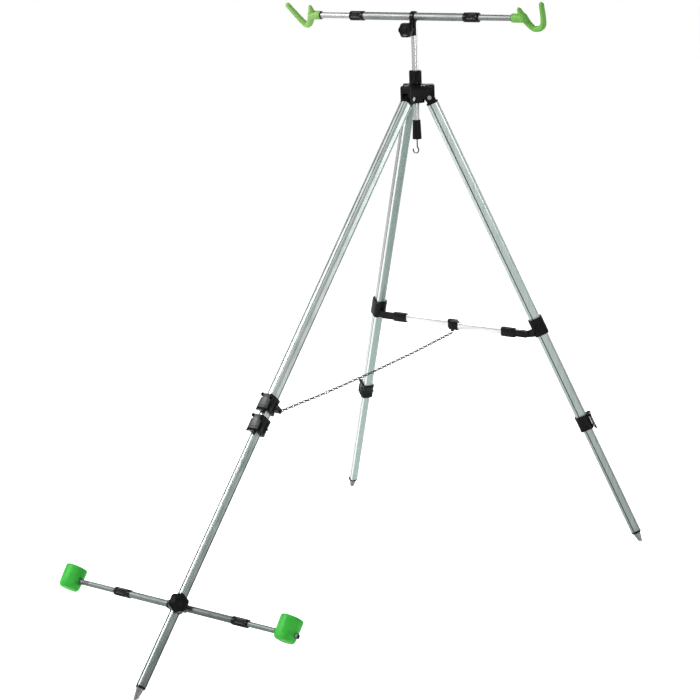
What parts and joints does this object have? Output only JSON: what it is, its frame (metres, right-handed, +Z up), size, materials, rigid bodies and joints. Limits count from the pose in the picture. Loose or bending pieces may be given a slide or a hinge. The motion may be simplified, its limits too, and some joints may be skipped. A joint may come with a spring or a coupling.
{
  "type": "surfcasting rod tripod",
  "caption": "Three-legged beach stand that holds two fishing rods, with telescoping legs, a raised crossbar with hooked rod rests and a low bar with butt cups.",
  "frame": {"origin": "midway between the rear foot and the front feet, on the ground", "axes": "+X along the crossbar, +Y from the rear leg towards the front legs, +Z up"},
  "size_m": [0.979, 1.5117, 1.4701],
  "materials": {
    "black_plastic": "satin moulded plastic",
    "brushed_aluminium": "satin anodised",
    "bright_steel": "bright",
    "green_rubber": "smooth, slightly glossy"
  },
  "bodies": {
    "head": {"head_yoke": "black_plastic", "rear_leg_pivot_bolt": "bright_steel", "left_leg_pivot_bolt": "bright_steel", "right_leg_pivot_bolt": "bright_steel"},
    "column_sleeve": {"column_lock_sleeve": "black_plastic"},
    "end_cap": {"column_end_cap": "black_plastic"},
    "column": {"center_column": "brushed_aluminium", "crossbar_bracket": "black_plastic", "crossbar_tube": "brushed_aluminium"},
    "hook": {"weight_hook": "bright_steel"},
    "crossbar_knob": {"crossbar_knob": "black_plastic"},
    "crossbar_lock_left": {"crossbar_lock_left": "black_plastic"},
    "rest_arm_left": {"rest_arm_left": "brushed_aluminium"},
    "rod_rest_left": {"rod_rest_left": "green_rubber"},
    "crossbar_lock_right": {"crossbar_lock_right": "black_plastic"},
    "rest_arm_right": {"rest_arm_right": "brushed_aluminium"},
    "rod_rest_right": {"rod_rest_right": "green_rubber"},
    "rear_upper": {"rear_leg_knuckle": "black_plastic", "rear_leg_upper_tube": "brushed_aluminium", "rear_leg_chain_collar": "black_plastic"},
    "rear_upper_lever": {"rear_leg_upper_lever": "black_plastic"},
    "rear_middle": {"rear_leg_middle_tube": "brushed_aluminium", "rear_leg_lower_lock": "black_plastic"},
    "rear_lower_lever": {"rear_leg_lower_lever": "black_plastic"},
    "rear_lower": {"rear_leg_lower_tube": "brushed_aluminium", "rear_leg_spike": "bright_steel"},
    "cup_clamp": {"cup_bar_clamp": "black_plastic", "cup_bar_tube_left": "brushed_aluminium", "cup_bar_tube_right": "brushed_aluminium"},
    "cup_knob": {"cup_bar_knob": "black_plastic"},
    "cup_lock_left": {"cup_bar_lock_left": "black_plastic"},
    "cup_arm_left": {"cup_arm_left": "brushed_aluminium"},
    "cup_left": {"butt_cup_left": "green_rubber"},
    "cup_lock_right": {"cup_bar_lock_right": "black_plastic"},
    "cup_arm_right": {"cup_arm_right": "brushed_aluminium"},
    "cup_right": {"butt_cup_right": "green_rubber"},
    "left_upper": {"left_leg_knuckle": "black_plastic", "left_leg_upper_tube": "brushed_aluminium", "left_spreader_collar": "black_plastic", "left_leg_lock": "black_plastic"},
    "left_lever": {"left_leg_lever": "black_plastic"},
    "left_lower": {"left_leg_lower_tube": "brushed_aluminium", "left_leg_spike": "bright_steel"},
    "left_spreader": {"spreader_left_socket": "black_plastic", "spreader_left_bar": "brushed_aluminium", "spreader_left_knee": "black_plastic"},
    "right_upper": {"right_leg_knuckle": "black_plastic", "right_leg_upper_tube": "brushed_aluminium", "right_spreader_collar": "black_plastic", "right_leg_lock": "black_plastic"},
    "right_lever": {"right_leg_lever": "black_plastic"},
    "right_lower": {"right_leg_lower_tube": "brushed_aluminium", "right_leg_spike": "bright_steel"},
    "right_spreader": {"spreader_right_socket": "black_plastic", "spreader_right_bar": "brushed_aluminium", "spreader_right_knee": "black_plastic"},
    "chain_1": {"chain_segment_1": "bright_steel"},
    "chain_2": {"chain_segment_2": "bright_steel"},
    "chain_3": {"chain_segment_3": "bright_steel"},
    "chain_4": {"chain_segment_4": "bright_steel"}
  },
  "joints": [
    {"name": "column_sleeve_twist", "type": "hinge", "parent": "head", "child": "column_sleeve", "pos_m": [0, 0.436, 1.22], "axis": [0, 0, 1], "range_deg": [0, 90]},
    {"name": "column_slide", "type": "slide", "parent": "head", "child": "end_cap", "axis": [0, 0, 1], "range_m": [-0.08, 0.04]},
    {"name": "column_turn", "type": "hinge", "parent": "end_cap", "child": "column", "pos_m": [0, 0.436, 1.22], "axis": [0, 0, 1], "continuous": true},
    {"name": "hook_swivel", "type": "hinge", "parent": "end_cap", "child": "hook", "pos_m": [0, 0.436, 1.22], "axis": [0, 0, 1], "continuous": true},
    {"name": "crossbar_knob_turn", "type": "hinge", "parent": "column", "child": "crossbar_knob", "pos_m": [0, 0.436, 1.395], "axis": [0, -1, 0], "continuous": true},
    {"name": "crossbar_lock_left_twist", "type": "hinge", "parent": "column", "child": "crossbar_lock_left", "pos_m": [0, 0.436, 1.4265], "axis": [-1, 0, 0], "range_deg": [0, 90]},
    {"name": "rest_arm_left_slide", "type": "slide", "parent": "column", "child": "rest_arm_left", "axis": [-1, 0, 0], "range_m": [-0.085, 0.035]},
    {"name": "rod_rest_left_turn", "type": "hinge", "parent": "rest_arm_left", "child": "rod_rest_left", "pos_m": [0, 0.436, 1.4265], "axis": [1, 0, 0], "range_deg": [-90, 90]},
    {"name": "crossbar_lock_right_twist", "type": "hinge", "parent": "column", "child": "crossbar_lock_right", "pos_m": [0, 0.436, 1.4265], "axis": [1, 0, 0], "range_deg": [0, 90]},
    {"name": "rest_arm_right_slide", "type": "slide", "parent": "column", "child": "rest_arm_right", "axis": [1, 0, 0], "range_m": [-0.085, 0.035]},
    {"name": "rod_rest_right_turn", "type": "hinge", "parent": "rest_arm_right", "child": "rod_rest_right", "pos_m": [0, 0.436, 1.4265], "axis": [1, 0, 0], "range_deg": [-90, 90]},
    {"name": "rear_leg_fold", "type": "hinge", "parent": "head", "child": "rear_upper", "pos_m": [0, 0.401, 1.22], "axis": [1, 0, 0], "range_deg": [0, 39.9], "deforming": ["chain_segment_4"]},
    {"name": "rear_upper_lever_flip", "type": "hinge", "parent": "rear_upper", "child": "rear_upper_lever", "pos_m": [0, -0.23083, 0.58431], "axis": [-1, 0, 0], "range_deg": [0, 100]},
    {"name": "rear_middle_slide", "type": "slide", "parent": "rear_upper", "child": "rear_middle", "axis": [0, -0.6871, -0.7266], "range_m": [-0.006, 0.6]},
    {"name": "rear_lower_lever_flip", "type": "hinge", "parent": "rear_middle", "child": "rear_lower_lever", "pos_m": [0, -0.27, 0.5429], "axis": [-1, 0, 0], "range_deg": [0, 100]},
    {"name": "rear_lower_slide", "type": "slide", "parent": "rear_middle", "child": "rear_lower", "axis": [0, -0.6871, -0.7266], "range_m": [-0.3, 0.1]},
    {"name": "cup_clamp_slide", "type": "slide", "parent": "rear_lower", "child": "cup_clamp", "axis": [0, -0.6871, -0.7266], "range_m": [-0.1, 0.14]},
    {"name": "cup_knob_turn", "type": "hinge", "parent": "cup_clamp", "child": "cup_knob", "pos_m": [0, -0.59322, 0.16865], "axis": [0.6157, -0.5725, 0.5414], "continuous": true},
    {"name": "cup_lock_left_twist", "type": "hinge", "parent": "cup_clamp", "child": "cup_lock_left", "pos_m": [0, -0.59322, 0.16865], "axis": [-1, 0, 0], "range_deg": [0, 90]},
    {"name": "cup_arm_left_slide", "type": "slide", "parent": "cup_clamp", "child": "cup_arm_left", "axis": [-1, 0, 0], "range_m": [-0.06, 0.04]},
    {"name": "cup_left_turn", "type": "hinge", "parent": "cup_arm_left", "child": "cup_left", "pos_m": [0, -0.59322, 0.16865], "axis": [1, 0, 0], "range_deg": [-60, 60]},
    {"name": "cup_lock_right_twist", "type": "hinge", "parent": "cup_clamp", "child": "cup_lock_right", "pos_m": [0, -0.59322, 0.16865], "axis": [1, 0, 0], "range_deg": [0, 90]},
    {"name": "cup_arm_right_slide", "type": "slide", "parent": "cup_clamp", "child": "cup_arm_right", "axis": [1, 0, 0], "range_m": [-0.06, 0.04]},
    {"name": "cup_right_turn", "type": "hinge", "parent": "cup_arm_right", "child": "cup_right", "pos_m": [0, -0.59322, 0.16865], "axis": [1, 0, 0], "range_deg": [-60, 60]},
    {"name": "left_leg_fold", "type": "hinge", "parent": "head", "child": "left_upper", "pos_m": [-0.02949, 0.45486, 1.22], "axis": [-0.5388, -0.8425, 0], "range_deg": [0, 20.5]},
    {"name": "left_lever_flip", "type": "hinge", "parent": "left_upper", "child": "left_lever", "pos_m": [-0.37057, 0.67299, 0.36141], "axis": [0.5388, 0.8425, 0], "range_deg": [0, 100]},
    {"name": "left_lower_slide", "type": "slide", "parent": "left_upper", "child": "left_lower", "axis": [-0.3413, 0.2183, -0.9143], "range_m": [-0.3, 0.25]},
    {"name": "left_spreader_swing", "type": "hinge", "parent": "left_upper", "child": "left_spreader", "pos_m": [-0.23519, 0.58641, 0.58508], "axis": [0, -1, 0], "range_deg": [0, 64.3]},
    {"name": "right_leg_fold", "type": "hinge", "parent": "head", "child": "right_upper", "pos_m": [0.02949, 0.45486, 1.22], "axis": [-0.5388, 0.8425, 0], "range_deg": [0, 20.5]},
    {"name": "right_lever_flip", "type": "hinge", "parent": "right_upper", "child": "right_lever", "pos_m": [0.37057, 0.67299, 0.36141], "axis": [0.5388, -0.8425, 0], "range_deg": [0, 100]},
    {"name": "right_lower_slide", "type": "slide", "parent": "right_upper", "child": "right_lower", "axis": [0.3413, 0.2183, -0.9143], "range_m": [-0.3, 0.25]},
    {"name": "right_spreader_swing", "type": "hinge", "parent": "right_upper", "child": "right_spreader", "pos_m": [0.23519, 0.58641, 0.58508], "axis": [0, 1, 0], "range_deg": [0, 64.3]},
    {"name": "chain_1_bend", "type": "hinge", "parent": "rear_upper", "child": "chain_1", "pos_m": [0, -0.18812, 0.53153], "axis": [1, 0, 0], "range_deg": [-80.59, 0.3]},
    {"name": "chain_2_bend", "type": "hinge", "parent": "chain_1", "child": "chain_2", "pos_m": [0.00005, 0.00388, 0.53354], "axis": [1, 0, 0], "range_deg": [-0.3, 133.3]},
    {"name": "chain_3_bend", "type": "hinge", "parent": "chain_2", "child": "chain_3", "pos_m": [0.00009, 0.19587, 0.53956], "axis": [1, 0, 0], "range_deg": [-1.49, 0.3]},
    {"name": "chain_4_bend", "type": "hinge", "parent": "chain_3", "child": "chain_4", "pos_m": [0.00014, 0.38786, 0.54957], "axis": [1, 0, 0], "range_deg": [-1.49, 0.3]}
  ],
  "couplings": [
    {"joint": "left_leg_fold", "follows": "rear_leg_fold", "ratio": 0.51128},
    {"joint": "left_spreader_swing", "follows": "rear_leg_fold", "ratio": 1.6075},
    {"joint": "right_leg_fold", "follows": "rear_leg_fold", "ratio": 0.51128},
    {"joint": "right_spreader_swing", "follows": "rear_leg_fold", "ratio": 1.6075},
    {"joint": "chain_1_bend", "follows": "rear_leg_fold", "ratio": -2.0122},
    {"joint": "chain_2_bend", "follows": "rear_leg_fold", "ratio": 3.3333},
    {"joint": "chain_3_bend", "follows": "rear_leg_fold", "ratio": -0.02986},
    {"joint": "chain_4_bend", "follows": "rear_leg_fold", "ratio": -0.0298}
  ]
}
